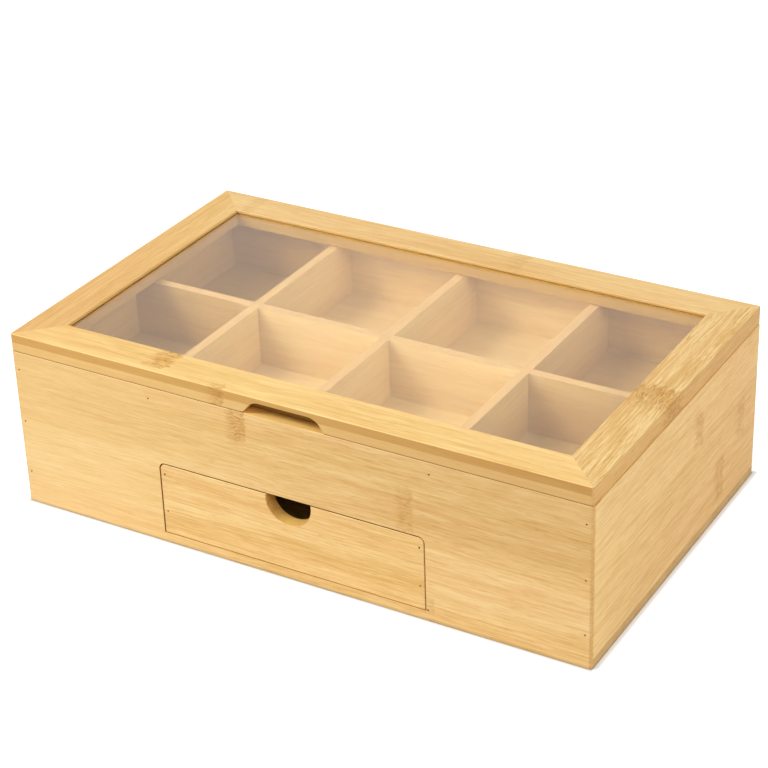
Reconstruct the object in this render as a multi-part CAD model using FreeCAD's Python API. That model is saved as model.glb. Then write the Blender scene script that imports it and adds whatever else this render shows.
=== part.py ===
"""Bamboo tea box: eight compartments under a hinged window lid, and a drawer in the lower storey.

Millimetres. X runs along the front, Y from front to back, Z up. The origin is the middle of the
underside. Every joint rests at zero: the lid is shut and the drawer is pushed in.
"""
import FreeCAD, Part
import os

V = FreeCAD.Vector
X_AXIS = V(1, 0, 0)
Y_AXIS = V(0, 1, 0)
Z_AXIS = V(0, 0, 1)

# ---- overall -------------------------------------------------------------------------------
box_length = 330.0
box_width = 200.0
box_height = 100.0
lid_thickness = 9.8
seam = 0.4

# ---- boards of the case --------------------------------------------------------------------
wall = 7.5
base_thickness = 5.5
floor_thickness = 5.0
bay_wall_thickness = 5.0
divider_thickness = 5.0
compartment_depth = 34.0
columns = 4
divider_drop = 0.4
lap_clearance = 0.1
corner_round = 2.0
edge_ease = 0.3

# ---- drawer --------------------------------------------------------------------------------
drawer_opening_width = 153.6
drawer_head = 3.4
drawer_side_gap = 0.6
drawer_top_gap = 0.8
drawer_sill_gap = 0.35
drawer_running_gap = 0.25
drawer_back_gap = 0.3
drawer_corner_radius = 3.0
drawer_front_thickness = 7.5
drawer_side_thickness = 5.0
drawer_side_drop = 2.85
drawer_bottom_thickness = 3.0
drawer_bottom_lift = 3.0
drawer_groove_depth = 2.5
groove_play = 0.1
finger_radius = 13.0
finger_centre_drop = 1.8
drawer_rim_ease = 0.3

# ---- lid -----------------------------------------------------------------------------------
lid_side_inset = 0.5
rail_width = 21.2
lid_corner_radius = 1.2
lid_top_round = 0.7
lid_inner_ease = 0.6
pane_thickness = 1.2
pane_recess = 1.6
pane_groove_depth = 5.0
pane_edge_play = 0.4
notch_width = 45.4
notch_top_width = 37.6
notch_height = 7.0
notch_backing = 0.8
notch_corner_radius = 8.5
notch_lip_radius = 4.5

# ---- hinges --------------------------------------------------------------------------------
hinge_length = 25.0
hinge_inset = 60.0
leaf_thickness = 0.9
leaf_width = 6.5
knuckle_radius = 1.5
knuckle_gap = 0.25
barrel_stand_off = 0.2
pin_radius = 0.75
pin_running_gap = 0.05
pin_head_radius = 1.2
pin_head_height = 0.5
screw_shank_radius = 0.9
screw_head_radius = 1.7
screw_length = 7.0
screw_edge_distance = 5.5

# ---- brads ---------------------------------------------------------------------------------
brad_side = 1.0
brad_length = 18.0
brad_sink = 0.4
brad_low_row = 18.75
brad_top_distance = 10.25
divider_brad_drop = 6.5
bay_brad_inset = 1.0
bay_brad_lift = 0.7
drawer_brad_low_row = 13.25
drawer_brad_top_distance = 2.75
base_brad_spacing = 60.0

# ---- cutting tools ---------------------------------------------------------------------------
overshoot = 1.0

# ---- what follows from the sizes -------------------------------------------------------------
half_length = box_length / 2
half_width = box_width / 2
inner_half_length = half_length - wall
inner_half_width = half_width - wall
case_height = box_height - lid_thickness - seam
lid_underside = case_height + seam
floor_top = case_height - compartment_depth
floor_underside = floor_top - floor_thickness
divider_top = case_height - divider_drop
divider_mid = (floor_top + divider_top) / 2
column_pitch = (2 * inner_half_length + divider_thickness) / columns
divider_positions = [column_pitch * (i + 1 - columns / 2) for i in range(columns - 1)]

bay_half_width = drawer_opening_width / 2
drawer_half_width = bay_half_width - drawer_side_gap
opening_top = floor_underside - drawer_head
drawer_front_bottom = base_thickness + drawer_sill_gap
drawer_front_top = opening_top - drawer_top_gap
drawer_underside = base_thickness + drawer_running_gap
drawer_rim = drawer_front_top - drawer_side_drop
drawer_inside_front = -half_width + drawer_front_thickness
drawer_rear = inner_half_width - drawer_back_gap
drawer_inner_half = drawer_half_width - drawer_side_thickness
drawer_bottom_underside = drawer_underside + drawer_bottom_lift

lid_half_length = half_length - lid_side_inset
window_half_length = lid_half_length - rail_width
window_half_width = half_width - rail_width
notch_depth = wall - notch_backing
pane_top = box_height - pane_recess
pane_underside = pane_top - pane_thickness

hinge_axis_y = half_width + knuckle_radius + barrel_stand_off
hinge_axis_z = case_height + seam / 2
hinge_x = half_length - hinge_inset
knuckle_length = (hinge_length - 2 * knuckle_gap) / 3
screw_y = half_width - leaf_width / 2
brad_column = half_length - wall / 2


def block(x0, x1, y0, y1, z0, z1):
    return Part.makeBox(x1 - x0, y1 - y0, z1 - z0, V(x0, y0, z0))


def polygon(points):
    return Part.Face(Part.makePolygon(points + [points[0]]))


def edges_along(shape, axis, keep):
    """The straight edges parallel to an axis whose middle passes the test."""
    found = []
    for edge in shape.Edges:
        if len(edge.Vertexes) != 2:
            continue
        run = edge.Vertexes[1].Point - edge.Vertexes[0].Point
        if run.cross(axis).Length < 1e-6 * run.Length and keep(edge.CenterOfMass):
            found.append(edge)
    return found


def rounded(shape, radius, axis, keep):
    return shape.makeFillet(radius, edges_along(shape, axis, keep))


def chamfered(shape, size, axis, keep):
    return shape.makeChamfer(size, edges_along(shape, axis, keep))


def near(a, b):
    return abs(a - b) < 1e-4


def square_rod(start, direction, length):
    """A rod of the brads' square section."""
    half = brad_side / 2
    rod = block(-half, half, -half, half, 0, length)
    rod.Placement = FreeCAD.Placement(start, FreeCAD.Rotation(Z_AXIS, direction))
    return rod


def brads(points, direction):
    """Headless pins, each starting just below its board's face and running inwards."""
    length = brad_length - brad_sink
    return [square_rod(point + direction * brad_sink, direction, length) for point in points]


def brad_holes(points, direction):
    return [square_rod(point, direction, brad_length) for point in points]


# ---- where the brads go ----------------------------------------------------------------------
brad_high_row = case_height - brad_top_distance
wall_brad_rows = (brad_low_row, (brad_low_row + brad_high_row) / 2, brad_high_row)
divider_brad_row = case_height - divider_brad_drop


def panel_brad_points(y):
    """Down both ends of a long wall, and one into the end of each outer cross divider."""
    points = [V(side * brad_column, y, z) for side in (-1, 1) for z in wall_brad_rows]
    outer_dividers = (divider_positions[0], divider_positions[-1])
    return points + [V(x, y, divider_brad_row) for x in outer_dividers]


bay_brad = V(bay_half_width + bay_brad_inset, -half_width, base_thickness + bay_brad_lift)
front_brad_points = panel_brad_points(-half_width) + [bay_brad]
back_brad_points = panel_brad_points(half_width)
base_brad_points = [
    V(side * brad_column, step * base_brad_spacing, 0) for side in (-1, 1) for step in (-1, 0, 1)
]
drawer_brad_rows = (drawer_underside + drawer_brad_low_row, drawer_rim - drawer_brad_top_distance)
drawer_front_brad_points = [
    V(side * (drawer_half_width - drawer_side_thickness / 2), -half_width, z)
    for side in (-1, 1)
    for z in drawer_brad_rows
]
drawer_back_brad_rows = [
    V(0, drawer_rear - drawer_side_thickness / 2, z) for z in drawer_brad_rows
]
drawer_left_brad_points = [V(-drawer_half_width, row.y, row.z) for row in drawer_back_brad_rows]
drawer_right_brad_points = [V(drawer_half_width, row.y, row.z) for row in drawer_back_brad_rows]
case_brad_holes = (
    brad_holes(front_brad_points, Y_AXIS)
    + brad_holes(back_brad_points, -Y_AXIS)
    + brad_holes(base_brad_points, Z_AXIS)
)
drawer_brad_holes = (
    brad_holes(drawer_front_brad_points, Y_AXIS)
    + brad_holes(drawer_left_brad_points, X_AXIS)
    + brad_holes(drawer_right_brad_points, -X_AXIS)
)


# ---- hinges ------------------------------------------------------------------------------------
def knuckle(x0, x1, bore_radius):
    centre = V(x0, hinge_axis_y, hinge_axis_z)
    outside = Part.makeCylinder(knuckle_radius, x1 - x0, centre, X_AXIS)
    return outside.cut(Part.makeCylinder(bore_radius, x1 - x0, centre, X_AXIS))


def knuckle_spans(centre_x):
    """The three knuckles of one hinge, from left to right."""
    start = centre_x - hinge_length / 2
    step = knuckle_length + knuckle_gap
    return [(start + i * step, start + i * step + knuckle_length) for i in range(3)]


def leaf(centre_x, z0, z1, spans, bore_radius):
    """A flat plate let into the wood, with a tongue out to each of its own knuckles."""
    x0 = centre_x - hinge_length / 2
    x1 = centre_x + hinge_length / 2
    plate = block(x0, x1, half_width - leaf_width, half_width, z0, z1)
    pin_hole = Part.makeCylinder(
        bore_radius, hinge_length, V(x0, hinge_axis_y, hinge_axis_z), X_AXIS
    )
    for a, b in spans:
        tongue = block(a, b, half_width, hinge_axis_y, z0, z1).cut(pin_hole)
        plate = plate.fuse([tongue, knuckle(a, b, bore_radius)])
    return plate.removeSplitter()


def hinge_pin(centre_x):
    """A pin through all three knuckles, with a low head at each end."""
    reach = hinge_length / 2
    axis_point = V(centre_x - reach, hinge_axis_y, hinge_axis_z)
    shaft = Part.makeCylinder(pin_radius, hinge_length, axis_point, X_AXIS)
    left = Part.makeCone(
        pin_head_radius, pin_radius, pin_head_height, axis_point, -X_AXIS
    )
    right = Part.makeCone(
        pin_head_radius, pin_radius, pin_head_height, axis_point + X_AXIS * hinge_length, X_AXIS
    )
    return shaft.fuse([left, right]).removeSplitter()


def screw(face_point, direction):
    """A countersunk screw whose head is flush with the leaf's face."""
    head = Part.makeCone(
        screw_head_radius, screw_shank_radius, leaf_thickness, face_point, direction
    )
    shank_start = face_point + direction * leaf_thickness
    shank_length = screw_length - leaf_thickness
    shank = Part.makeCylinder(screw_shank_radius, shank_length, shank_start, direction)
    return head.fuse(shank)


def screw_points(z):
    spread = hinge_length / 2 - screw_edge_distance
    return [
        V(side * hinge_x + step * spread, screw_y, z) for side in (-1, 1) for step in (-1, 1)
    ]


case_screws = [screw(p, -Z_AXIS) for p in screw_points(case_height)]
lid_screws = [screw(p, Z_AXIS) for p in screw_points(lid_underside)]


def leaf_seat(centre_x, z0, z1):
    """The housing cut for a leaf in the edge that it is let into."""
    reach = hinge_length / 2
    return block(centre_x - reach, centre_x + reach, half_width - leaf_width, half_width, z0, z1)


# ---- case --------------------------------------------------------------------------------------
def panel(y_outer, y_inner):
    """A long wall that covers the ends of the side panels and the edge of the base."""
    low, high = sorted((y_outer, y_inner))
    body = block(-half_length, half_length, low, high, 0, case_height)
    body = rounded(body, corner_round, Z_AXIS, lambda c: near(c.y, y_outer))
    return chamfered(body, edge_ease, X_AXIS, lambda c: near(c.y, y_outer))


def front_panel():
    """The front wall, with an opening whose top corners follow the drawer's."""
    opening = block(
        -bay_half_width,
        bay_half_width,
        -half_width - overshoot,
        -inner_half_width + overshoot,
        base_thickness,
        opening_top,
    )
    radius = drawer_corner_radius + drawer_side_gap
    opening = rounded(opening, radius, Y_AXIS, lambda c: near(c.z, opening_top))
    return panel(-half_width, -inner_half_width).cut([opening] + case_brad_holes)


def back_panel():
    """The back wall, with a seat in its top edge for each hinge leaf."""
    seats = [
        leaf_seat(side * hinge_x, case_height - leaf_thickness, case_height + overshoot)
        for side in (-1, 1)
    ]
    return panel(half_width, inner_half_width).cut(seats + case_screws + case_brad_holes)


def side_panel(side):
    low, high = sorted((side * inner_half_length, side * half_length))
    body = block(
        low, high, -inner_half_width, inner_half_width, base_thickness, case_height
    )
    outside = side * half_length
    body = chamfered(
        body, edge_ease, Y_AXIS, lambda c: near(c.x, outside) and near(c.z, case_height)
    )
    return body.cut(case_brad_holes)


def base_board():
    body = block(
        -half_length, half_length, -inner_half_width, inner_half_width, 0, base_thickness
    )
    return body.cut(case_brad_holes)


def compartment_floor():
    return block(
        -inner_half_length,
        inner_half_length,
        -inner_half_width,
        inner_half_width,
        floor_underside,
        floor_top,
    ).cut(case_brad_holes)


def long_divider():
    """Runs the length of the box, slotted from above where the cross dividers drop in."""
    half = divider_thickness / 2
    slot_half = half + lap_clearance
    body = block(-inner_half_length, inner_half_length, -half, half, floor_top, divider_top)
    slots = [
        block(
            x - slot_half,
            x + slot_half,
            -half - overshoot,
            half + overshoot,
            divider_mid,
            divider_top + overshoot,
        )
        for x in divider_positions
    ]
    return body.cut(slots)


def cross_divider(x):
    """Runs from front to back, slotted from below where it straddles the long divider."""
    half = divider_thickness / 2
    slot_half = half + lap_clearance
    body = block(
        x - half, x + half, -inner_half_width, inner_half_width, floor_top, divider_top
    )
    slot = block(
        x - half - overshoot,
        x + half + overshoot,
        -slot_half,
        slot_half,
        floor_top - overshoot,
        divider_mid,
    )
    return body.cut([slot] + case_brad_holes)


def bay_wall(side):
    """One side of the drawer's bay, which also carries the compartment floor."""
    low, high = sorted((side * bay_half_width, side * (bay_half_width + bay_wall_thickness)))
    return block(
        low, high, -inner_half_width, inner_half_width, base_thickness, floor_underside
    ).cut(case_brad_holes)


# ---- drawer ------------------------------------------------------------------------------------
def bottom_groove():
    """The space ploughed in the drawer's sides and front for its bottom board."""
    reach = drawer_inner_half + drawer_groove_depth
    return block(
        -reach,
        reach,
        drawer_inside_front - drawer_groove_depth,
        drawer_rear + overshoot,
        drawer_bottom_underside,
        drawer_bottom_underside + drawer_bottom_thickness + groove_play,
    )


def drawer_front():
    """The inset front, with a round finger cut-out through its top edge."""
    body = block(
        -drawer_half_width,
        drawer_half_width,
        -half_width,
        drawer_inside_front,
        drawer_front_bottom,
        drawer_front_top,
    )
    body = rounded(body, drawer_corner_radius, Y_AXIS, lambda c: near(c.z, drawer_front_top))
    centre = V(0, -half_width - overshoot, drawer_front_top - finger_centre_drop)
    cut_length = drawer_front_thickness + 2 * overshoot
    cut_out = Part.makeCylinder(finger_radius, cut_length, centre, Y_AXIS)
    body = body.cut(cut_out)
    rim = [edge for edge in body.Edges if near(edge.BoundBox.YMax, -half_width)]
    body = body.makeChamfer(drawer_rim_ease, rim)
    return body.cut([bottom_groove()] + drawer_brad_holes)


def drawer_side(side):
    low, high = sorted((side * drawer_inner_half, side * drawer_half_width))
    body = block(low, high, drawer_inside_front, drawer_rear, drawer_underside, drawer_rim)
    return body.cut([bottom_groove()] + drawer_brad_holes)


def drawer_back():
    """Sits between the sides, on top of the bottom board."""
    return block(
        -drawer_inner_half,
        drawer_inner_half,
        drawer_rear - drawer_side_thickness,
        drawer_rear,
        drawer_bottom_underside + drawer_bottom_thickness,
        drawer_rim,
    ).cut(drawer_brad_holes)


def drawer_bottom():
    reach = drawer_inner_half + drawer_groove_depth - groove_play
    return block(
        -reach,
        reach,
        drawer_inside_front - drawer_groove_depth + groove_play,
        drawer_rear,
        drawer_bottom_underside,
        drawer_bottom_underside + drawer_bottom_thickness,
    )


# ---- lid ---------------------------------------------------------------------------------------
def lid_frame():
    """The whole frame before it is parted at its mitres, grooved for the pane."""
    outer = block(
        -lid_half_length,
        lid_half_length,
        -half_width,
        half_width,
        lid_underside,
        box_height,
    )
    outer = rounded(outer, lid_corner_radius, Z_AXIS, lambda c: True)
    rim = [edge for edge in outer.Edges if near(edge.BoundBox.ZMin, box_height)]
    outer = outer.makeFillet(lid_top_round, rim)
    window = block(
        -window_half_length,
        window_half_length,
        -window_half_width,
        window_half_width,
        lid_underside - overshoot,
        box_height + overshoot,
    )
    frame = outer.cut(window)
    inner_rim = [
        edge
        for edge in frame.Edges
        if near(edge.BoundBox.ZMin, box_height)
        and abs(edge.CenterOfMass.x) < window_half_length + 1e-3
        and abs(edge.CenterOfMass.y) < window_half_width + 1e-3
    ]
    frame = frame.makeFillet(lid_inner_ease, inner_rim)
    groove = block(
        -window_half_length - pane_groove_depth,
        window_half_length + pane_groove_depth,
        -window_half_width - pane_groove_depth,
        window_half_width + pane_groove_depth,
        pane_underside,
        pane_top + groove_play,
    )
    return frame.cut(groove)


def lid_corner(side_x, side_y, inset):
    return V(side_x * (lid_half_length - inset), side_y * (half_width - inset), lid_underside)


def lid_rail(frame, start, end):
    """One side of the frame, from corner to corner, parted along the mitre at each."""
    outline = [
        lid_corner(*start, 0),
        lid_corner(*end, 0),
        lid_corner(*end, rail_width),
        lid_corner(*start, rail_width),
    ]
    return frame.common(polygon(outline).extrude(Z_AXIS * lid_thickness))


def finger_notch():
    """A shallow scoop in the front rail's outer face, open below, with sloping ends."""
    slope = (notch_width - notch_top_width) / 2 / notch_height
    mouth = notch_width / 2 + slope * overshoot
    roof = notch_top_width / 2
    outer_y = -half_width - overshoot
    roof_z = lid_underside + notch_height
    outline = [
        V(-mouth, outer_y, lid_underside - overshoot),
        V(mouth, outer_y, lid_underside - overshoot),
        V(roof, outer_y, roof_z),
        V(-roof, outer_y, roof_z),
    ]
    scoop = polygon(outline).extrude(Y_AXIS * (notch_depth + overshoot))
    return rounded(scoop, notch_corner_radius, Y_AXIS, lambda c: near(c.z, roof_z))


def lid_front_rail(frame):
    rail = lid_rail(frame, (-1, -1), (1, -1)).cut(finger_notch())
    return rounded(
        rail,
        notch_lip_radius,
        Y_AXIS,
        lambda c: near(c.z, lid_underside) and near(abs(c.x), notch_width / 2),
    )


def lid_back_rail(frame):
    seats = [
        leaf_seat(side * hinge_x, lid_underside - overshoot, lid_underside + leaf_thickness)
        for side in (-1, 1)
    ]
    return lid_rail(frame, (1, 1), (-1, 1)).cut(seats + lid_screws)


def window_pane():
    reach = pane_groove_depth - pane_edge_play
    return block(
        -window_half_length - reach,
        window_half_length + reach,
        -window_half_width - reach,
        window_half_width + reach,
        pane_underside,
        pane_top,
    )


# ---- the pieces, one file each -------------------------------------------------------------------
def build():
    frame = lid_frame()
    pieces = {
        "front_panel": front_panel(),
        "back_panel": back_panel(),
        "left_side_panel": side_panel(-1),
        "right_side_panel": side_panel(1),
        "base_board": base_board(),
        "compartment_floor": compartment_floor(),
        "long_divider": long_divider(),
        "drawer_bay_left_wall": bay_wall(-1),
        "drawer_bay_right_wall": bay_wall(1),
        "front_panel_brads": Part.makeCompound(brads(front_brad_points, Y_AXIS)),
        "back_panel_brads": Part.makeCompound(brads(back_brad_points, -Y_AXIS)),
        "base_brads": Part.makeCompound(brads(base_brad_points, Z_AXIS)),
        "drawer_front": drawer_front(),
        "drawer_left_side": drawer_side(-1),
        "drawer_right_side": drawer_side(1),
        "drawer_back": drawer_back(),
        "drawer_bottom": drawer_bottom(),
        "drawer_brads": Part.makeCompound(
            brads(drawer_front_brad_points, Y_AXIS)
            + brads(drawer_left_brad_points, X_AXIS)
            + brads(drawer_right_brad_points, -X_AXIS)
        ),
        "lid_front_rail": lid_front_rail(frame),
        "lid_back_rail": lid_back_rail(frame),
        "lid_left_rail": lid_rail(frame, (-1, 1), (-1, -1)),
        "lid_right_rail": lid_rail(frame, (1, -1), (1, 1)),
        "window_pane": window_pane(),
        "case_hinge_screws": Part.makeCompound(case_screws),
        "lid_hinge_screws": Part.makeCompound(lid_screws),
    }
    for number, x in enumerate(divider_positions, start=1):
        pieces[f"cross_divider_{number}"] = cross_divider(x)
    for name, side in (("left", -1), ("right", 1)):
        x = side * hinge_x
        first, middle, last = knuckle_spans(x)
        case_leaf = leaf(x, case_height - leaf_thickness, case_height, (first, last), pin_radius)
        lid_leaf = leaf(
            x,
            lid_underside,
            lid_underside + leaf_thickness,
            (middle,),
            pin_radius + pin_running_gap,
        )
        pieces["hinge_case_leaf_" + name] = case_leaf.cut(case_screws)
        pieces["hinge_lid_leaf_" + name] = lid_leaf.cut(lid_screws)
        pieces["hinge_pin_" + name] = hinge_pin(x)
    return pieces


os.makedirs("parts", exist_ok=True)
for node, shape in build().items():
    shape.exportStep("parts/" + node + ".step")
    print(f"{node:24s} solids {len(shape.Solids):2d}  volume {shape.Volume:12.1f}  {shape.isValid()}")
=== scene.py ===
"""Bamboo tea box with a window lid and a drawer: materials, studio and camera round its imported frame."""
import math
from collections import namedtuple

import bpy
from mathutils import Matrix, Vector

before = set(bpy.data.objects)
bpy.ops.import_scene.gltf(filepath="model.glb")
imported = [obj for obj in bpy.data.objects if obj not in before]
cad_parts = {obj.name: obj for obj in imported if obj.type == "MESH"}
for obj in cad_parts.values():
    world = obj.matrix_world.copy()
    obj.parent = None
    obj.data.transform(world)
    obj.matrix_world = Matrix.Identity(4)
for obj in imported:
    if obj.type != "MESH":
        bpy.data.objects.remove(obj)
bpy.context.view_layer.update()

MM = 0.001
WHITE = (1.0, 1.0, 1.0, 1.0)

# ---- camera, as it stood for the photograph -------------------------------------------------------
IMAGE_SIZE = 768
FOCAL_LENGTH_PIXELS = 2226.4
IMAGE_CENTRE_PIXELS = (411.0, 380.0)
CAMERA_AZIMUTH = 30.234
CAMERA_ELEVATION = 28.879
CAMERA_ROLL = -1.619
CAMERA_DISTANCE = 1.1883
CAMERA_SIDESTEP = 0.0117
CAMERA_LIFT = 0.0562
SENSOR_WIDTH = 36.0
NEAREST, FARTHEST = 0.05, 50.0

# ---- studio ---------------------------------------------------------------------------------------
FLOOR_HALF_WIDTH = 6.0
FLOOR_DROP = 0.0002
FLOOR_GREY = (0.8, 0.8, 0.8, 1.0)
FLOOR_LIFT = 0.62
# Painted contact shadow: the floor's lift fades out near the box's foot, beside its ends only partly.
CONTACT_SHADE = 0.003
SIDE_CONTACT = 0.42
SIDE_CONTACT_START = 0.0002
WORLD_STRENGTH = 0.37
LAMP_SIZE = 0.8
LAMP_AIM = (0.0, 0.0, 0.05)
KEY_PLACE, KEY_POWER = (-1.2, -1.1, 1.75), 34.0
FILL_PLACE, FILL_POWER = (1.7, -0.7, 1.1), 16.0

# ---- colours of the bamboo itself, and painted shade on rounded corners, as sRGB ------------------
MIDDLING = (238, 197, 130)
PALE = (247, 213, 150)
ROSY = (240, 191, 130)
CARAMEL = (220, 173, 98)
KNUCKLE_TAN = (212, 158, 80)
KNUCKLE_BROWN = (168, 110, 40)
FIBRE_BROWN = (192, 139, 68)
# Painted shade on rounded vertical corners, darker than the faces on either side.
CORNER_SHADE = (220, 174, 108)

# ---- patterns of noise in the grain: cycles per millimetre along and across it --------------------
Pattern = namedtuple("Pattern", "along across detail roughness distortion", defaults=(0.5, 0.0))
BANDS = Pattern(0.006, 0.085, 1.0)
STREAKS = Pattern(0.014, 0.42, 3.0, 0.6)
FIBRES = Pattern(0.05, 0.95, 3.0, 0.65)
DASHES = Pattern(0.15, 1.9, 1.0)
WARMTH = Pattern(0.004, 0.03, 1.0)
WANDER = Pattern(0.02, 0.08, 1.0)
TWIST = Pattern(0.16, 0.16, 1.0)
FLECKS = Pattern(0.3, 1.15, 3.0, 0.62, 0.4)
BLOTCHES = Pattern(0.14, 0.24, 2.0)

# ---- values of noise at which a pattern starts and at which it is full ----------------------------
DASH_RANGE = (0.6, 0.78)
WARMTH_RANGE = (0.35, 0.65)
BLOTCH_RANGE, FAINTEST_BLOTCH = (0.32, 0.6), 0.15
FLECK_RANGE = (0.46, 0.66)
JOINT_RANGE_MM = (0.05, 0.2)

# ---- how much each pattern does -------------------------------------------------------------------
STRIP_SEED_STEP = 3.17
STRIP_SHIFT_MM = (900.0, 140.0, 60.0)
WANDER_MM = 4.0
TWIST_MM = 5.0
STREAK_WEIGHT = 1.05
STRIP_TONE_WEIGHT = 0.14
FIBRE_WEIGHT = 1.5
ROSY_SHARE = 0.3
DASH_SHARE = 0.3
PATCH_SHARE = 0.62
FLECK_SHARE = 0.78
JOINT_SHARE = 0.12
SANDED_ROUGHNESS = 0.4
FIBRE_ROUGHNESS = 0.16
KNUCKLE_ROUGHNESS = 0.08
STREAK_HEIGHT, FIBRE_HEIGHT, DASH_DEPTH, JOINT_DEPTH = 0.5, 0.7, 0.5, 2.0
RELIEF_STRENGTH = 0.3
RELIEF_DEPTH = 0.12 * MM
BAMBOO_SHINE = 0.25


def linear(colour):
    """An sRGB colour of 0 to 255 as linear red, green, blue and alpha."""

    def decode(value):
        share = value / 255
        return share / 12.92 if share <= 0.04045 else ((share + 0.055) / 1.055) ** 2.4

    return tuple(decode(value) for value in colour) + (1.0,)


class Graph:
    """A node tree under construction: each call adds one node and gives its output."""

    def __init__(self, tree):
        self.tree = tree
        self.tree.nodes.clear()

    def add(self, kind, inputs, **settings):
        node = self.tree.nodes.new(kind)
        for name, value in settings.items():
            setattr(node, name, value)
        for key, value in inputs.items():
            if isinstance(value, bpy.types.NodeSocket):
                self.tree.links.new(value, node.inputs[key])
            else:
                node.inputs[key].default_value = value
        return node

    def math(self, operation, *values):
        inputs = dict(enumerate(values))
        return self.add("ShaderNodeMath", inputs, operation=operation).outputs[0]

    def product(self, first, *others):
        """All the values multiplied together."""
        for other in others:
            first = self.math("MULTIPLY", first, other)
        return first

    def vector(self, x, y, z):
        return self.add("ShaderNodeCombineXYZ", {0: x, 1: y, 2: z}).outputs[0]

    def scaled(self, vector, scale):
        inputs = {0: vector, 1: scale}
        return self.add("ShaderNodeVectorMath", inputs, operation="MULTIPLY").outputs[0]

    def split(self, vector):
        return self.add("ShaderNodeSeparateXYZ", {0: vector}).outputs

    def noise(self, vector, detail, roughness, distortion=0.0):
        inputs = {
            "Vector": vector,
            "Scale": 1.0,
            "Detail": detail,
            "Roughness": roughness,
            "Distortion": distortion,
        }
        return self.add("ShaderNodeTexNoise", inputs).outputs[0]

    def ramp(self, value, low, high, to_low=0.0, to_high=1.0, smooth=False):
        inputs = {0: value, 1: low, 2: high, 3: to_low, 4: to_high}
        shape = "SMOOTHSTEP" if smooth else "LINEAR"
        return self.add("ShaderNodeMapRange", inputs, interpolation_type=shape).outputs[0]

    def blend(self, share, first, second, how="MIX"):
        """Mixes two colours. The sockets of a colour mix are its numbers 0, 6 and 7."""
        inputs = {0: share, 6: first, 7: second}
        node = self.add("ShaderNodeMix", inputs, data_type="RGBA", blend_type=how)
        return node.outputs[2]

    def bump(self, height, strength, distance):
        inputs = {"Height": height, "Strength": strength, "Distance": distance}
        return self.add("ShaderNodeBump", inputs).outputs[0]

    def finish(self, surface, kind="ShaderNodeOutputMaterial"):
        self.add(kind, {"Surface": surface.outputs[0]})


# ---- how far a surface faces an axis, from 0 to 1, and the softness of a mask in millimetres ------
FACING = (0.82, 0.95)
NOT_FACING = (0.3, 0.5)
FACING_CORNER = (0.12, 0.4)
TURNED_FACING = 0.7
MASK_SOFTNESS = 0.05


class BoardGraph(Graph):
    """A board's node tree, with where each point of its surface lies and which way it faces."""

    def __init__(self, tree):
        super().__init__(tree)
        spot = self.add("ShaderNodeTexCoord", {}).outputs
        millimetres = self.scaled(spot["Object"], (1 / MM,) * 3)
        self.place = dict(zip("XYZ", self.split(millimetres)))
        normal = zip("XYZ", self.split(spot["Normal"]))
        self.facing = {axis: self.math("ABSOLUTE", part) for axis, part in normal}

    def faces(self, axis):
        """1 on surfaces square to an axis and 0 on the others."""
        return self.ramp(self.facing[axis], *FACING)

    def between(self, value, low, high, soft=MASK_SOFTNESS):
        """1 where a value lies between low and high, all in millimetres."""
        above_low = self.ramp(value, low - soft, low + soft, smooth=True)
        below_high = self.ramp(value, high - soft, high + soft, 1.0, 0.0, smooth=True)
        return self.product(above_low, below_high)


def new_tree(name, graph=Graph):
    """A new material and the graph of its nodes."""
    material = bpy.data.materials.new(name)
    material.use_nodes = True
    return material, graph(material.node_tree)


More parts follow.
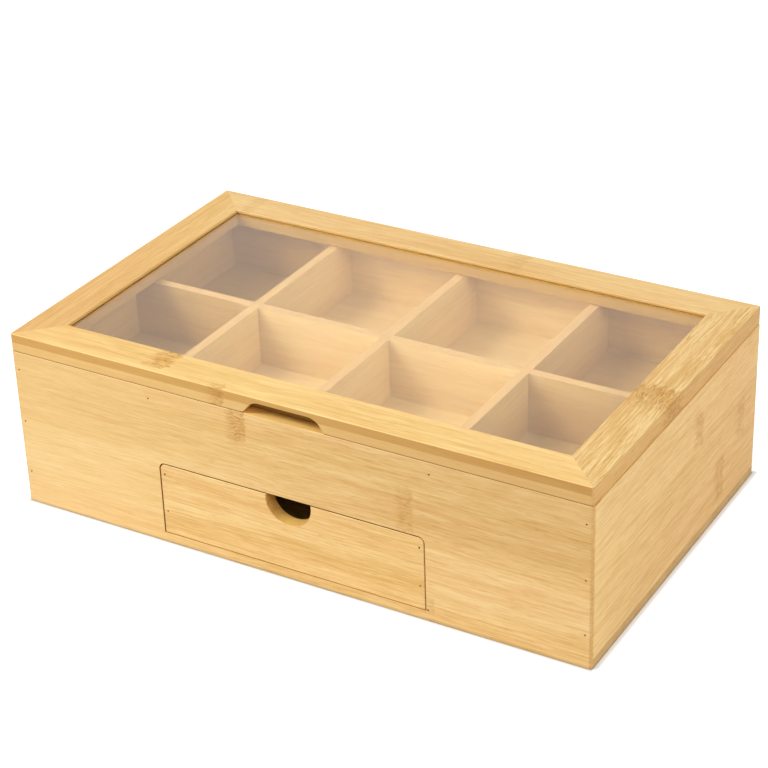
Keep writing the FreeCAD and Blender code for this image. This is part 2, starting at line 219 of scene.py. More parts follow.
# ---- the grain that all boards share --------------------------------------------------------------
def bamboo_group():
    """The node group behind every board. Its Grain input is in millimetres: along, across, through.

    A board is glued up from strips. Each strip has its own tone and its own stretch of fibres,
    which run in broad bands, in streaks of a few millimetres and in fine dark bundles.
    """
    group = bpy.data.node_groups.new("bamboo", "ShaderNodeTree")
    for name, kind in (
        ("Grain", "NodeSocketVector"),
        ("Seed", "NodeSocketFloat"),
        ("Strip Width", "NodeSocketFloat"),
        ("Strip Start", "NodeSocketFloat"),
        ("Coarseness", "NodeSocketFloat"),
        ("Contrast", "NodeSocketFloat"),
        ("Fine Contrast", "NodeSocketFloat"),
        ("Knuckles", "NodeSocketFloat"),
        ("Tint", "NodeSocketColor"),
    ):
        group.interface.new_socket(name, in_out="INPUT", socket_type=kind)
    for name, kind in (
        ("Color", "NodeSocketColor"),
        ("Roughness", "NodeSocketFloat"),
        ("Height", "NodeSocketFloat"),
    ):
        group.interface.new_socket(name, in_out="OUTPUT", socket_type=kind)

    g = Graph(group)
    given = g.add("NodeGroupInput", {}).outputs
    along, across, through = g.split(given["Grain"])

    # which strip this is, and its own random numbers
    strip_place = g.math(
        "DIVIDE", g.math("SUBTRACT", across, given["Strip Start"]), given["Strip Width"]
    )
    strip_seed = g.math(
        "MULTIPLY_ADD", g.math("FLOOR", strip_place), STRIP_SEED_STEP, given["Seed"]
    )
    own = g.add("ShaderNodeTexWhiteNoise", {"W": strip_seed}, noise_dimensions="1D").outputs
    shift = g.split(own["Color"])
    along = g.math("MULTIPLY_ADD", shift[0], STRIP_SHIFT_MM[0], along)
    across = g.math("MULTIPLY_ADD", shift[1], STRIP_SHIFT_MM[1], across)
    through = g.math("MULTIPLY_ADD", shift[2], STRIP_SHIFT_MM[2], through)

    def stretched(pattern, over):
        point = g.vector(
            g.math("MULTIPLY", along, pattern.along),
            g.math("MULTIPLY", over, pattern.across),
            g.math("MULTIPLY", through, pattern.across),
        )
        return g.noise(point, pattern.detail, pattern.roughness, pattern.distortion)

    def centred(value):
        return g.math("SUBTRACT", value, 0.5)

    # the fibres wander a little as they run, and more so at a knuckle
    twist = g.product(centred(stretched(TWIST, across)), TWIST_MM, given["Knuckles"])
    bend = g.math("MULTIPLY_ADD", centred(stretched(WANDER, across)), WANDER_MM, twist)
    bent = g.math("ADD", g.math("DIVIDE", across, given["Coarseness"]), bend)

    streaks = stretched(STREAKS, bent)
    fibres = stretched(FIBRES, bent)
    dashes = g.ramp(stretched(DASHES, bent), *DASH_RANGE)

    # level: 0 is the darkest bamboo and 1 the palest
    level = centred(stretched(BANDS, bent))
    level = g.math("MULTIPLY_ADD", centred(streaks), STREAK_WEIGHT, level)
    level = g.math("MULTIPLY_ADD", centred(own["Value"]), STRIP_TONE_WEIGHT, level)
    level = g.math("MULTIPLY_ADD", level, given["Contrast"], 0.5)
    fibre_weight = g.math("MULTIPLY", given["Fine Contrast"], FIBRE_WEIGHT)
    level = g.math("MULTIPLY_ADD", centred(fibres), fibre_weight, level)
    warmth = g.ramp(stretched(WARMTH, across), *WARMTH_RANGE)
    dash_share = g.product(given["Fine Contrast"], DASH_SHARE)
    body = g.blend(g.ramp(level, 0.0, 0.5), linear(CARAMEL), linear(MIDDLING))
    body = g.blend(g.product(warmth, ROSY_SHARE), body, linear(ROSY))
    body = g.blend(g.ramp(level, 0.5, 1.0), body, linear(PALE))
    body = g.blend(g.product(dashes, dash_share), body, linear(FIBRE_BROWN))

    # a knuckle is a tan patch full of short dark flecks
    blotches = g.ramp(stretched(BLOTCHES, across), *BLOTCH_RANGE, FAINTEST_BLOTCH, 1.0)
    patch = g.product(given["Knuckles"], blotches)
    flecks = g.ramp(stretched(FLECKS, bent), *FLECK_RANGE, 0.0, FLECK_SHARE)
    body = g.blend(g.product(patch, PATCH_SHARE), body, linear(KNUCKLE_TAN))
    body = g.blend(g.product(given["Knuckles"], flecks), body, linear(KNUCKLE_BROWN))

    # a hair line where two strips meet
    into_strip = g.math("FRACT", strip_place)
    edge = g.math("MINIMUM", into_strip, g.math("SUBTRACT", 1.0, into_strip))
    joint = g.ramp(g.product(edge, given["Strip Width"]), *JOINT_RANGE_MM, JOINT_SHARE, 0.0)
    body = g.blend(joint, body, linear(FIBRE_BROWN))
    body = g.blend(1.0, body, given["Tint"], "MULTIPLY")

    roughness = g.math("MULTIPLY_ADD", fibres, FIBRE_ROUGHNESS, SANDED_ROUGHNESS)
    roughness = g.math("MULTIPLY_ADD", patch, KNUCKLE_ROUGHNESS, roughness)
    height = g.math("MULTIPLY_ADD", streaks, STREAK_HEIGHT, g.product(fibres, FIBRE_HEIGHT))
    height = g.math("SUBTRACT", height, g.product(dashes, DASH_DEPTH))
    height = g.math("SUBTRACT", height, g.product(joint, JOINT_DEPTH))
    g.add("NodeGroupOutput", {"Color": body, "Roughness": roughness, "Height": height})
    return group


BAMBOO = bamboo_group()


# ---- how one board is finished --------------------------------------------------------------------
def reach(node, axis, end):
    """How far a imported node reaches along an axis, in millimetres: end is min or max."""
    part = "XYZ".index(axis)
    return end(vertex.co[part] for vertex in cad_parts[node].data.vertices) / MM


HALF_LENGTH = reach("front_panel", "X", max)
HALF_WIDTH = reach("back_panel", "Y", max)
INNER_HALF_LENGTH = reach("right_side_panel", "X", min)
INNER_HALF_WIDTH = reach("back_panel", "Y", min)
FLOOR_TOP = reach("compartment_floor", "Z", max)
BASE_TOP = reach("base_board", "Z", max)
DRAWER_TOP = reach("drawer_front", "Z", max)
LID_UNDERSIDE = reach("lid_front_rail", "Z", min)

# A knuckle mark lies at a place along the board and spans it from its low to its high edge.
Knuckle = namedtuple("Knuckle", "at low high strength length")
# Upper strips are multiplied by a shade that begins at start and is whole from full height up.
UpperStrips = namedtuple("UpperStrips", "start full near_shade far_shade")
# A lid rail's edge shows two plies, above and below a glue line.
Plies = namedtuple("Plies", "glue_line upper lower far_shade")
# A cut is a surface that faces an axis and lies between two places along it. Each of its limits
# is a further axis with two places that it lies between.
Cut = namedtuple("Cut", "axis low high colour limits", defaults=((),))
# A bore through a board along Y: its outline; painted shade left, painted light from the middle on.
Bore = namedtuple("Bore", "left right bottom top shady lit")
# A foot of painted shade: multiplied by its shade at its low edge, by nothing from its high edge up.
Foot = namedtuple("Foot", "low high shade")
# Calm grain has only a share of its contrast up to start along the board, and all of it from full on.
Calm = namedtuple("Calm", "start full share")

FAR_RUN = (-150.0, 150.0)
RAGGED_CYCLES = 0.3
RAGGED_ACROSS_MM = 8.0
RAGGED_ALONG = 0.9
MARK_NEAR_EDGE = (-0.7, -0.15)
MARK_FAR_EDGE = (0.3, 0.42)
MARK_INSET, MARK_SOFTNESS = 1.0, 1.6
LINING_OVERLAP = 0.2
LINING_FOOT = (-0.4, -0.2)
BORE_SHADE = (0.9, 0.1)
END_SHADE_START, END_SHADE_FULL = 76.0, 92.0
GLUE_LINE_HALF = 0.12
EDGE_GRAIN = 0.5
INNER_GRAIN = 0.6
SIDE_SEED, SIDE_START = 2.0, -14.0

# colours of the linings of the tea compartments, with painted shade for those at both ends
INNER = (232, 205, 147)
LEFT_END_LINING_SHADE = (203, 169, 103)
RIGHT_END_LINING_SHADE = (214, 181, 116)


def tint_of(colour):
    """The factor that takes middling bamboo to the given sRGB colour."""
    return tuple(want / have for want, have in zip(linear(colour), linear(MIDDLING)))


def far_share(g, along):
    """0 at a board's near end and 1 at its far end."""
    return g.ramp(along, *FAR_RUN, smooth=True)


def knuckle_marks(g, along, across, through, seed, knuckles):
    """How much of a knuckle each point is: ragged bands across the board, sharp on the far side."""

    def ragged(first, second, span):
        point = g.vector(g.product(first, RAGGED_CYCLES), g.product(second, RAGGED_CYCLES), seed)
        spread = g.noise(point, detail=3.0, roughness=0.7)
        return g.product(g.math("SUBTRACT", spread, 0.5), span)

    marks = 0.0
    for at, low, high, strength, length in knuckles:
        wavering = g.math("ADD", along, ragged(across, through, RAGGED_ALONG * length))
        strayed = g.math("ADD", across, ragged(along, through, RAGGED_ACROSS_MM))
        near_start, near_full = (at + share * length for share in MARK_NEAR_EDGE)
        far_start, far_full = (at + share * length for share in MARK_FAR_EDGE)
        mark = g.product(
            g.ramp(wavering, near_start, near_full, smooth=True),
            g.ramp(wavering, far_start, far_full, 1.0, 0.0, smooth=True),
            g.between(strayed, low + MARK_INSET, high - MARK_INSET, MARK_SOFTNESS),
            strength,
        )
        marks = g.math("MAXIMUM", marks, mark)
    return marks


def inside_case(g):
    """1 on surfaces that bound the tea compartments."""
    length, width = INNER_HALF_LENGTH + LINING_OVERLAP, INNER_HALF_WIDTH + LINING_OVERLAP
    return g.product(
        g.between(g.place["X"], -length, length),
        g.between(g.place["Y"], -width, width),
        g.ramp(g.place["Z"], *(FLOOR_TOP + lift for lift in LINING_FOOT)),
    )


def lining_tint(g):
    """The compartments' tone, with painted shade darkening the compartments at both ends of the box."""
    left_end = g.ramp(g.place["X"], -END_SHADE_FULL, -END_SHADE_START)
    right_end = g.ramp(g.place["X"], END_SHADE_START, END_SHADE_FULL)
    tint = g.blend(left_end, tint_of(LEFT_END_LINING_SHADE), tint_of(INNER))
    return g.blend(right_end, tint, tint_of(RIGHT_END_LINING_SHADE))


def ply_tint(g, along, plies):
    """The two plies on a lid rail's edge, with their glue line between them."""
    over_glue = g.ramp(
        g.place["Z"], plies.glue_line - GLUE_LINE_HALF, plies.glue_line + GLUE_LINE_HALF
    )
    near = g.blend(over_glue, tint_of(plies.lower), tint_of(plies.upper))
    far = g.blend(1.0, near, plies.far_shade, "MULTIPLY")
    return g.blend(far_share(g, along), near, far)


def cut_mask(g, cut):
    """1 on the surfaces that a cut describes."""
    mask = g.product(g.faces(cut.axis), g.between(g.place[cut.axis], cut.low, cut.high))
    for axis, low, high in cut.limits:
        mask = g.product(mask, g.between(g.place[axis], low, high))
    return mask


def bored(g, tint, bore):
    """A bore's wall along Y takes painted shade on its left and painted light from the middle on."""
    mask = g.product(
        g.between(g.place["X"], bore.left, bore.right),
        g.between(g.place["Z"], bore.bottom, bore.top),
        g.ramp(g.facing["Y"], *NOT_FACING, 1.0, 0.0),
    )
    lit = g.ramp(g.place["X"], *(share * bore.left for share in BORE_SHADE))
    return g.blend(mask, tint, g.blend(lit, tint_of(bore.shady), tint_of(bore.lit)))


def painted_shade_at_foot(g, tint, foot):
    """Painted shade, darker towards the foot, except on level surfaces."""
    shade = g.ramp(g.place["Z"], foot.low, foot.high, foot.shade, 1.0, smooth=True)
    shade = g.math("MAXIMUM", shade, g.faces("Z"))
    return g.blend(1.0, tint, g.vector(shade, shade, shade), "MULTIPLY")


def bamboo(name, grain, strips, seed, face, width=25.0, start=0.0, coarseness=1.0, contrast=1.0,
           fine_contrast=1.0, knuckles=(), far=None, upper_strips=None, end=None, edge=None,
           plies=None, cuts=(), bore=None, foot=None, calm=None, lines_case=False, mitred=False):
    """A board's own bamboo. grain and strips are the axes that it runs along and is glued up across.

    width is the strips' width in millimetres, and start is where one of them begins. face, end and
    edge are the middling colours of the broad faces, the end grain and the narrow faces, and far
    is what face turns to as the board runs along its axis. knuckles, upper_strips, plies, cuts,
    bore, foot and calm are the named tuples above. lines_case says that the board lines the tea
    compartments, and mitred that its ends carry the side's grain on.
    """
    material, g = new_tree(name, BoardGraph)
    along, across = g.place[grain], g.place[strips]
    through = g.place[({"X", "Y", "Z"} - {grain, strips}).pop()]
    on_edge = g.faces(strips)
    marks = knuckle_marks(g, along, across, through, seed, knuckles)

    tint = tint_of(face)
    if far:
        tint = g.blend(far_share(g, along), tint, tint_of(far))
    if upper_strips:
        shade = g.blend(far_share(g, along), upper_strips.near_shade, upper_strips.far_shade)
        upper = g.ramp(g.place["Z"], upper_strips.start, upper_strips.full, smooth=True)
        tint = g.blend(upper, tint, shade, "MULTIPLY")
    if lines_case:
        inside = inside_case(g)
        # Linings take the compartments' tone, with painted shade at both ends.
        tint = g.blend(inside, tint, lining_tint(g))
        marks = g.product(marks, g.math("SUBTRACT", 1.0, inside))
    tint = g.blend(on_edge, tint, ply_tint(g, along, plies) if plies else tint_of(edge or face))
    tint = g.blend(g.faces(grain), tint, tint_of(end or face))
    # Rounded vertical corners take a painted shade.
    corner = g.math("MINIMUM", g.facing["X"], g.facing["Y"])
    tint = g.blend(g.ramp(corner, *FACING_CORNER), tint, tint_of(CORNER_SHADE))
    for cut in cuts:
        tint = g.blend(cut_mask(g, cut), tint, tint_of(cut.colour))
    if bore:
        tint = bored(g, tint, bore)
    # Painted shade towards the foot.
    if foot:
        tint = painted_shade_at_foot(g, tint, foot)

    def grain_weight(amount):
        """The grain is fainter on narrow edges, in a calm stretch and inside the case."""
        weight = g.ramp(on_edge, 0.0, 1.0, amount, EDGE_GRAIN * amount)
        if calm:
            share = g.ramp(along, calm.start, calm.full, calm.share, 1.0, smooth=True)
            weight = g.product(weight, share)
        if lines_case:
            weight = g.product(weight, g.ramp(inside, 0.0, 1.0, 1.0, INNER_GRAIN))
        return weight

    vein = g.vector(along, across, through)
    if mitred:
        turned = g.math("GREATER_THAN", g.facing[grain], TURNED_FACING)
        side_vein = g.vector(g.place["Y"], g.place["Z"], g.place["X"])
        choice = g.add("ShaderNodeMix", {0: turned, 4: vein, 5: side_vein}, data_type="VECTOR")
        vein = choice.outputs[1]
        seed = g.ramp(turned, 0.0, 1.0, seed, SIDE_SEED)
        start = g.ramp(turned, 0.0, 1.0, start, SIDE_START)
    board = g.tree.nodes.new("ShaderNodeGroup")
    board.node_tree = BAMBOO
    for key, value in (
        ("Grain", vein),
        ("Seed", seed),
        ("Strip Width", width),
        ("Strip Start", start),
        ("Coarseness", coarseness),
        ("Contrast", grain_weight(contrast)),
        ("Fine Contrast", grain_weight(fine_contrast)),
        ("Knuckles", marks),
        ("Tint", tint),
    ):
        if isinstance(value, bpy.types.NodeSocket):
            g.tree.links.new(value, board.inputs[key])
        else:
            board.inputs[key].default_value = value
    surface = g.add(
        "ShaderNodeBsdfPrincipled",
        {
            "Base Color": board.outputs["Color"],
            "Roughness": board.outputs["Roughness"],
            "Normal": g.bump(board.outputs["Height"], RELIEF_STRENGTH, RELIEF_DEPTH),
            "Specular IOR Level": BAMBOO_SHINE,
        },
    )
    g.finish(surface)
    return material


# ---- the boards' own colours, with painted shade and light on some faces, as sRGB -----------------
CASE, CASE_FAR = (246, 208, 141), (236, 195, 129)
SIDE, SIDE_FAR = (242, 202, 132), (241, 192, 118)
BACK_END = (241, 195, 122)
BASE_END = (210, 169, 104)
DIVIDER_TOP = (217, 181, 124)
DRAWER, DRAWER_FAR = (242, 201, 131), (236, 194, 123)
LID, LID_FAR = (247, 204, 128), (252, 212, 138)
UPPER_PLY, LOWER_PLY = (212, 162, 86), (234, 190, 116)
# The back rail's face and edge, and painted shade for its inner face below the pane.
BACK_RAIL, BACK_RAIL_EDGE, BACK_RAIL_SHADE_BELOW_PANE = (241, 199, 130), (226, 185, 118), (193, 153, 66)
LEFT_RAIL, LEFT_RAIL_FAR, LEFT_RAIL_EDGE = (232, 184, 112), (243, 199, 127), (226, 178, 102)
# The left rail's inner face, and painted shade for it below the pane.
LEFT_LIP, LEFT_RAIL_SHADE_BELOW_PANE = (235, 186, 112), (196, 158, 92)
RIGHT_RAIL, RIGHT_RAIL_EDGE = (240, 200, 132), (221, 170, 93)
# Painted shade in the drawer's gaps: the opening's sides and level faces, the drawer's top arris.
OPENING_SIDE_SHADE, OPENING_SILL_SHADE, DRAWER_GAP_SHADOW = (180, 136, 60), (226, 181, 98), (116, 80, 6)
# Painted shadow of the lid's seam, on the front arris of the case's rim.
SEAM_SHADOW_BROWN = (128, 82, 8)
SHADED = (150, 110, 42)
LEDGE = (239, 195, 110)
# Painted shade and painted light on the finger hole's wall.
BORE_SHADY, BORE_LIT = (200, 154, 80), (240, 198, 108)

# ---- places on the boards, in millimetres ---------------------------------------------------------
RIM = (85.0, 95.0)
FRONT_ARRIS = ("Y", -101.0, -99.15)
LEFT_OF_NOTCH = ("X", -HALF_LENGTH, -23.0)
RIGHT_OF_NOTCH = ("X", 23.0, HALF_LENGTH)
BELOW_PANE = ("Z", 90.0, 97.3)
LEFT_LIP_PLACE = (-144.0, -142.0)
BACK_LIP_PLACE = (78.0, 79.5)
OPENING_CUTS = (
    # Painted shade on the drawer opening's sides and level faces.
    Cut("X", -80.0, 80.0, OPENING_SIDE_SHADE),
    Cut("Z", -10.0, 60.0, OPENING_SILL_SHADE),
    Cut("Z", *RIM, LEDGE),
    # Painted shadow of the seam on the rim's front arris, either side of the notch.
    Cut("Z", *RIM, SEAM_SHADOW_BROWN, (FRONT_ARRIS, LEFT_OF_NOTCH)),
    Cut("Z", *RIM, SEAM_SHADOW_BROWN, (FRONT_ARRIS, RIGHT_OF_NOTCH)),
)
NOTCH_CUTS = (
    Cut("Y", -99.0, -92.0, SHADED),
    Cut("Z", 96.0, 98.0, SHADED),
    Cut("X", -26.0, 26.0, SHADED),
)
BASE_ENDS = Cut("X", HALF_LENGTH - 1.0, HALF_LENGTH + 1.0, BASE_END, (("Z", -1.0, BASE_TOP),))
# Painted shadow of the drawer's top gap, on the front arris of the drawer front's top.
DRAWER_TOP_CUT = Cut("Z", 40.0, 50.0, DRAWER_GAP_SHADOW, (FRONT_ARRIS,))
# Painted shade on the rails' inner faces below the pane.
BACK_LIP_CUT = Cut("Y", *BACK_LIP_PLACE, BACK_RAIL_SHADE_BELOW_PANE, (BELOW_PANE,))
LEFT_LIP_CUTS = (
    Cut("X", *LEFT_LIP_PLACE, LEFT_LIP),
    Cut("X", *LEFT_LIP_PLACE, LEFT_RAIL_SHADE_BELOW_PANE, (BELOW_PANE,)),
)
FINGER_BORE = Bore(-13.1, 13.1, DRAWER_TOP - 15.0, DRAWER_TOP - 0.4, BORE_SHADY, BORE_LIT)
# Painted shade at the case's foot, and along the lid's lower edge where it darkens the seam.
CASE_FOOT_SHADE = Foot(0.0, 2.2, 0.74)
LID_SEAM_SHADE = Foot(LID_UNDERSIDE, LID_UNDERSIDE + 0.6, 0.62)
# The front panel's strips are counted from the joint where the upper ones start.
UPPER_STRIPS_START, UPPER_STRIPS_FULL = 42.0, 56.0
CASE_UPPER_STRIPS = UpperStrips(
    UPPER_STRIPS_START, UPPER_STRIPS_FULL, (0.96, 0.93, 0.87, 1.0), (0.875, 0.84, 0.77, 1.0)
)
LID_PLIES = Plies(95.1, UPPER_PLY, LOWER_PLY, (0.87, 0.87, 0.92, 1.0))
FRONT_KNUCKLES = (
    Knuckle(-27.0, 72.0, 93.0, 0.85, 12.0),
    Knuckle(66.5, 47.0, 74.0, 0.45, 11.0),
    Knuckle(78.5, 4.0, 14.0, 0.4, 8.0),
)
RIGHT_KNUCKLES = (
    Knuckle(22.0, 56.0, 78.0, 0.6, 13.0),
    Knuckle(78.0, 35.0, 57.0, 0.5, 13.0),
    Knuckle(52.0, 10.0, 36.0, 0.6, 13.0),
)
LEFT_KNUCKLES = (
    Knuckle(-46.0, 36.0, 61.0, 0.5, 12.0),
    Knuckle(8.0, 11.0, 36.0, 0.4, 12.0),
)
BACK_KNUCKLES = (
    Knuckle(-92.0, 42.0, 67.0, 0.5, 12.0),
    Knuckle(41.0, 17.0, 42.0, 0.6, 12.0),
    Knuckle(118.0, 67.0, 90.0, 0.4, 12.0),
)
BASE_KNUCKLES = (
    Knuckle(-60.0, 0.0, 22.0, 0.6, 12.0),
    Knuckle(30.0, -44.0, -22.0, 0.6, 12.0),
    Knuckle(95.0, 44.0, 66.0, 0.6, 12.0),
)
DRAWER_BOTTOM_KNUCKLES = (
    Knuckle(-20.0, -24.0, 0.0, 0.5, 12.0),
    Knuckle(40.0, 24.0, 48.0, 0.5, 12.0),
)
LID_FRONT_KNUCKLES = (
    Knuckle(-77.0, -97.0, -75.0, 1.0, 15.0),
    Knuckle(-38.0, -103.0, -95.0, 0.6, 10.0),
)
LID_BACK_KNUCKLES = (
    Knuckle(-138.0, 78.0, 100.0, 0.3, 10.0),
    Knuckle(30.0, 80.0, 100.0, 0.3, 12.0),
)
LID_RIGHT_KNUCKLES = (Knuckle(-11.0, 141.0, 166.0, 1.0, 25.0),)

# ---- the boards -----------------------------------------------------------------------------------
BOARDS = {
    "front_panel": bamboo(
        "front_panel_bamboo", "X", "Z", 1.0, CASE,
        far=CASE_FAR, end=SIDE, start=UPPER_STRIPS_START, contrast=0.9, fine_contrast=1.35,
        upper_strips=CASE_UPPER_STRIPS, calm=Calm(-120.0, 20.0, 0.6),
        knuckles=FRONT_KNUCKLES, cuts=(*OPENING_CUTS, BASE_ENDS),
        foot=CASE_FOOT_SHADE, lines_case=True, mitred=True,
    ),
    "back_panel": bamboo(
        "back_panel_bamboo", "X", "Z", 4.0, CASE,
        end=BACK_END, start=-8.0, knuckles=BACK_KNUCKLES, cuts=(BASE_ENDS,),
        foot=CASE_FOOT_SHADE, lines_case=True, mitred=True,
    ),
    "base_board": bamboo(
        "base_bamboo", "X", "Y", 5.0, CASE,
        end=BASE_END, width=22.0, knuckles=BASE_KNUCKLES, foot=CASE_FOOT_SHADE,
    ),
    "compartment_floor": bamboo("floor_bamboo", "X", "Y", 6.0, INNER, width=24.0, lines_case=True),
    "drawer_front": bamboo(
        "drawer_front_bamboo", "X", "Z", 7.0, DRAWER,
        far=DRAWER_FAR, end=PALE, start=1.0, fine_contrast=1.4,
        cuts=(DRAWER_TOP_CUT,), bore=FINGER_BORE,
    ),
    "drawer_bottom": bamboo(
        "drawer_bottom_bamboo", "X", "Y", 8.0, INNER, width=24.0, knuckles=DRAWER_BOTTOM_KNUCKLES,
    ),
    "drawer_left_side": bamboo("drawer_left_bamboo", "Y", "Z", 13.0, INNER),
    "drawer_right_side": bamboo("drawer_right_bamboo", "Y", "Z", 14.0, INNER),
    "drawer_back": bamboo("drawer_back_bamboo", "X", "Z", 15.0, INNER),
    "drawer_bay_left_wall": bamboo("bay_left_bamboo", "Y", "Z", 16.0, INNER),
    "drawer_bay_right_wall": bamboo("bay_right_bamboo", "Y", "Z", 17.0, INNER),
    "lid_front_rail": bamboo(
        "lid_front_bamboo", "X", "Y", 9.0, LID,
        far=LID_FAR, start=-101.0, plies=LID_PLIES,
        knuckles=LID_FRONT_KNUCKLES, cuts=NOTCH_CUTS, foot=LID_SEAM_SHADE,
    ),
    "lid_back_rail": bamboo(
        "lid_back_bamboo", "X", "Y", 10.0, BACK_RAIL,
        edge=BACK_RAIL_EDGE, start=78.0, knuckles=LID_BACK_KNUCKLES, cuts=(BACK_LIP_CUT,),
    ),
    "lid_left_rail": bamboo(
        "lid_left_bamboo", "Y", "X", 11.0, LEFT_RAIL,
        far=LEFT_RAIL_FAR, edge=LEFT_RAIL_EDGE, start=-166.0, contrast=0.8, cuts=LEFT_LIP_CUTS,
    ),
    "lid_right_rail": bamboo(
        "lid_right_bamboo", "Y", "X", 12.0, RIGHT_RAIL,
        edge=RIGHT_RAIL_EDGE, start=142.0, coarseness=0.75, contrast=1.1, fine_contrast=3.1,
        knuckles=LID_RIGHT_KNUCKLES,
    ),
}
for side, knuckles in (("right", RIGHT_KNUCKLES), ("left", LEFT_KNUCKLES)):
    BOARDS[f"{side}_side_panel"] = bamboo(
        f"{side}_side_bamboo", "Y", "Z", SIDE_SEED, SIDE,
        far=SIDE_FAR, start=SIDE_START, contrast=0.8, fine_contrast=1.5,
        knuckles=knuckles, foot=CASE_FOOT_SHADE, lines_case=True,
    )
for divider, grain, seed in (
    ("long_divider", "X", 18.0),
    ("cross_divider_1", "Y", 19.0),
    ("cross_divider_2", "Y", 20.0),
    ("cross_divider_3", "Y", 21.0),
):
    BOARDS[divider] = bamboo(
        f"{divider}_bamboo", grain, "Z", seed, INNER,
        edge=DIVIDER_TOP, start=40.0, width=36.0, lines_case=True,
    )


# ---- the window and the metal parts ---------------------------------------------------------------
ACRYLIC = (246, 243, 236)
ACRYLIC_SHADOW = (222, 218, 210)
ACRYLIC_IOR = 1.49
ACRYLIC_SHEEN = (1.0, 0.92, 0.78, 1.0)
ACRYLIC_ROUGHNESS = (0.02, 0.06)

# cycles per metre along X, Y and Z, and the values of noise where a pattern starts and is full
SCUFFS, SCUFF_RANGE = (90.0, 60.0, 60.0), (0.3, 0.7)
TARNISH, TARNISH_RANGE = (350.0, 350.0, 350.0), (0.4, 0.68)
SCRATCHES = (400.0, 9000.0, 9000.0)
TARNISH_ROUGHNESS = 0.15
SCRATCH_ROUGHNESS = 0.22
SCRATCH_STRENGTH = 0.2
SCRATCH_DEPTH = 0.02 * MM


def acrylic():
    """The window: clear acrylic with the faint haze of fine scuffs, which lets lamps through."""
    material, g = new_tree("clear_acrylic")
    place = g.add("ShaderNodeTexCoord", {}).outputs["Object"]
    scuffs = g.noise(g.scaled(place, SCUFFS), detail=4.0, roughness=0.65)
    surface = g.add(
        "ShaderNodeBsdfPrincipled",
        {
            "Base Color": linear(ACRYLIC),
            "Roughness": g.ramp(scuffs, *SCUFF_RANGE, *ACRYLIC_ROUGHNESS),
            "IOR": ACRYLIC_IOR,
            "Specular Tint": ACRYLIC_SHEEN,
            "Transmission Weight": 1.0,
        },
    )
    in_shadow_ray = g.add("ShaderNodeLightPath", {}).outputs["Is Shadow Ray"]
    clear = g.add("ShaderNodeBsdfTransparent", {"Color": linear(ACRYLIC_SHADOW)})
    inputs = {0: in_shadow_ray, 1: surface.outputs[0], 2: clear.outputs[0]}
    g.finish(g.add("ShaderNodeMixShader", inputs))
    return material


def metal(name, colour, worn_colour, roughness, metallic=1.0):
    """Plated or drawn metal, with fine scratches along X and tarnish in cloudy patches."""
    material, g = new_tree(name)
    place = g.add("ShaderNodeTexCoord", {}).outputs["Object"]
    clouds = g.noise(g.scaled(place, TARNISH), detail=3.0, roughness=0.6)
    tarnish = g.ramp(clouds, *TARNISH_RANGE)
    scratches = g.noise(g.scaled(place, SCRATCHES), detail=2.0, roughness=0.6)
    worn = g.math("MULTIPLY_ADD", tarnish, TARNISH_ROUGHNESS, roughness)
    surface = g.add(
        "ShaderNodeBsdfPrincipled",
        {
            "Base Color": g.blend(tarnish, linear(colour), linear(worn_colour)),
            "Metallic": metallic,
            "Roughness": g.math("MULTIPLY_ADD", scratches, SCRATCH_ROUGHNESS, worn),
            "Normal": g.bump(scratches, SCRATCH_STRENGTH, SCRATCH_DEPTH),
        },
    )
    g.finish(surface)
    return material


WINDOW = acrylic()
BRASS = metal("brass", colour=(212, 170, 96), worn_colour=(150, 108, 58), roughness=0.22)
DARK_STEEL = metal(
    "dark_steel", colour=(150, 110, 62), worn_colour=(108, 76, 40), roughness=0.5, metallic=0.4
)

for node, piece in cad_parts.items():
    if node in BOARDS:
        piece.material_slots[0].material = BOARDS[node]
    elif node == "window_pane":
        piece.material_slots[0].material = WINDOW
    elif node.endswith("brads"):
        piece.material_slots[0].material = DARK_STEEL
    else:
        piece.material_slots[0].material = BRASS


# ---- floor, light and camera ----------------------------------------------------------------------
def seen_directly(g):
    """1 on rays from the camera, mirror reflections and glass, and 0 on rays that light things."""
    rays = g.add("ShaderNodeLightPath", {}).outputs
    seen = g.math("MAXIMUM", rays["Is Camera Ray"], rays["Is Glossy Ray"])
    return g.math("MAXIMUM", seen, rays["Is Transmission Ray"])


def make_floor():
    """A pale floor: white where seen, less the object's soft shadow and a painted contact shadow."""
    far = FLOOR_HALF_WIDTH
    corners = [(x, y, -FLOOR_DROP) for x, y in ((-far, -far), (far, -far), (far, far), (-far, far))]
    mesh = bpy.data.meshes.new("floor")
    mesh.from_pydata(corners, [], [(0, 1, 2, 3)])
    floor = bpy.data.objects.new("floor", mesh)
    bpy.context.scene.collection.objects.link(floor)
    material, g = new_tree("floor")
    x, y, _ = g.split(g.add("ShaderNodeTexCoord", {}).outputs["Object"])
    beside = g.math("SUBTRACT", g.math("ABSOLUTE", x), HALF_LENGTH * MM)
    before = g.math("SUBTRACT", g.math("ABSOLUTE", y), HALF_WIDTH * MM)
    # Painted contact shadow round the box's outline.
    clear_of_foot = g.math(
        "MAXIMUM",
        g.ramp(g.math("MAXIMUM", beside, before), 0.0, CONTACT_SHADE, smooth=True),
        g.ramp(beside, 0.0, SIDE_CONTACT_START, 0.0, SIDE_CONTACT),
    )
    strength = g.product(seen_directly(g), FLOOR_LIFT, clear_of_foot)
    matt = g.add("ShaderNodeBsdfDiffuse", {"Color": FLOOR_GREY})
    lift = g.add("ShaderNodeEmission", {"Color": WHITE, "Strength": strength})
    g.finish(g.add("ShaderNodeAddShader", {0: matt.outputs[0], 1: lift.outputs[0]}))
    mesh.materials.append(material)


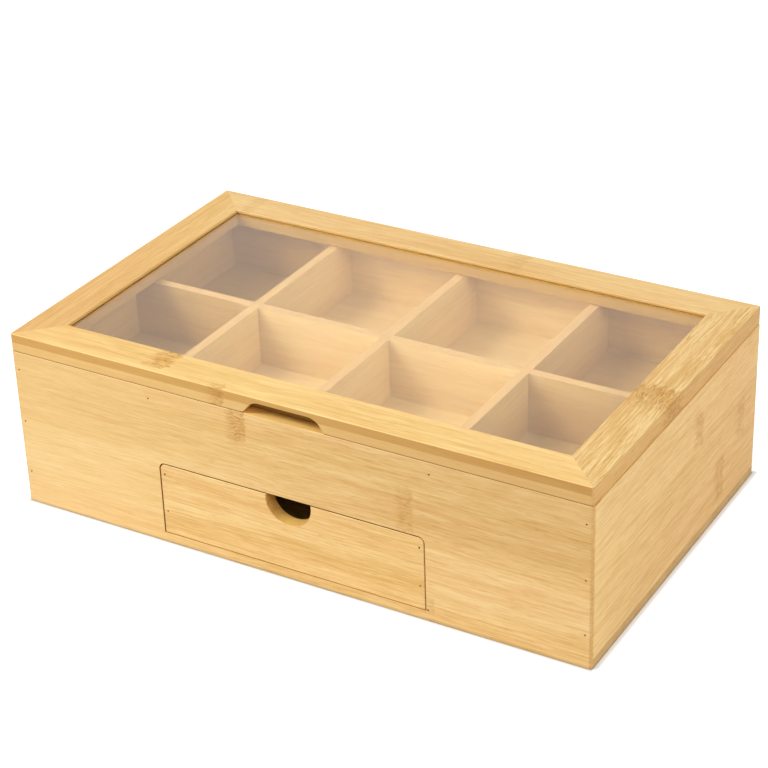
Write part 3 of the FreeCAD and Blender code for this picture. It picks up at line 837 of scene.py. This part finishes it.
def make_world():
    world = bpy.data.worlds.new("studio")
    bpy.context.scene.world = world
    world.use_nodes = True
    g = Graph(world.node_tree)
    strength = g.math("MAXIMUM", seen_directly(g), WORLD_STRENGTH)
    sky = g.add("ShaderNodeBackground", {"Color": WHITE, "Strength": strength})
    g.finish(sky, "ShaderNodeOutputWorld")


def make_lamp(name, place, power):
    lamp = bpy.data.lights.new(name, "AREA")
    lamp.shape = "DISK"
    lamp.size = LAMP_SIZE
    lamp.energy = power
    holder = bpy.data.objects.new(name, lamp)
    holder.location = place
    aim = Vector(LAMP_AIM) - Vector(place)
    holder.rotation_euler = aim.to_track_quat("-Z", "Y").to_euler()
    bpy.context.scene.collection.objects.link(holder)


def make_camera():
    azimuth = math.radians(CAMERA_AZIMUTH)
    elevation = math.radians(CAMERA_ELEVATION)
    roll = math.radians(CAMERA_ROLL)
    level = math.cos(elevation)
    right = Vector((math.cos(azimuth), math.sin(azimuth), 0))
    back = Vector((math.sin(azimuth) * level, -math.cos(azimuth) * level, math.sin(elevation)))
    up = back.cross(right)
    rolled_right = right * math.cos(roll) + up * math.sin(roll)
    rolled_up = up * math.cos(roll) - right * math.sin(roll)
    data = bpy.data.cameras.new("camera")
    data.sensor_width = SENSOR_WIDTH
    data.lens = FOCAL_LENGTH_PIXELS / IMAGE_SIZE * SENSOR_WIDTH
    data.shift_x = (IMAGE_SIZE / 2 - IMAGE_CENTRE_PIXELS[0]) / IMAGE_SIZE
    data.shift_y = (IMAGE_CENTRE_PIXELS[1] - IMAGE_SIZE / 2) / IMAGE_SIZE
    data.clip_start = NEAREST
    data.clip_end = FARTHEST
    camera = bpy.data.objects.new("camera", data)
    camera.location = back * CAMERA_DISTANCE + right * CAMERA_SIDESTEP + up * CAMERA_LIFT
    camera.rotation_mode = "QUATERNION"
    axes = Matrix((rolled_right, rolled_up, back)).transposed()
    camera.rotation_quaternion = axes.to_quaternion()
    bpy.context.scene.collection.objects.link(camera)
    bpy.context.scene.camera = camera


make_floor()
make_world()
make_lamp("key", KEY_PLACE, KEY_POWER)
make_lamp("fill", FILL_PLACE, FILL_POWER)
make_camera()
bpy.context.scene.view_settings.view_transform = "Standard"
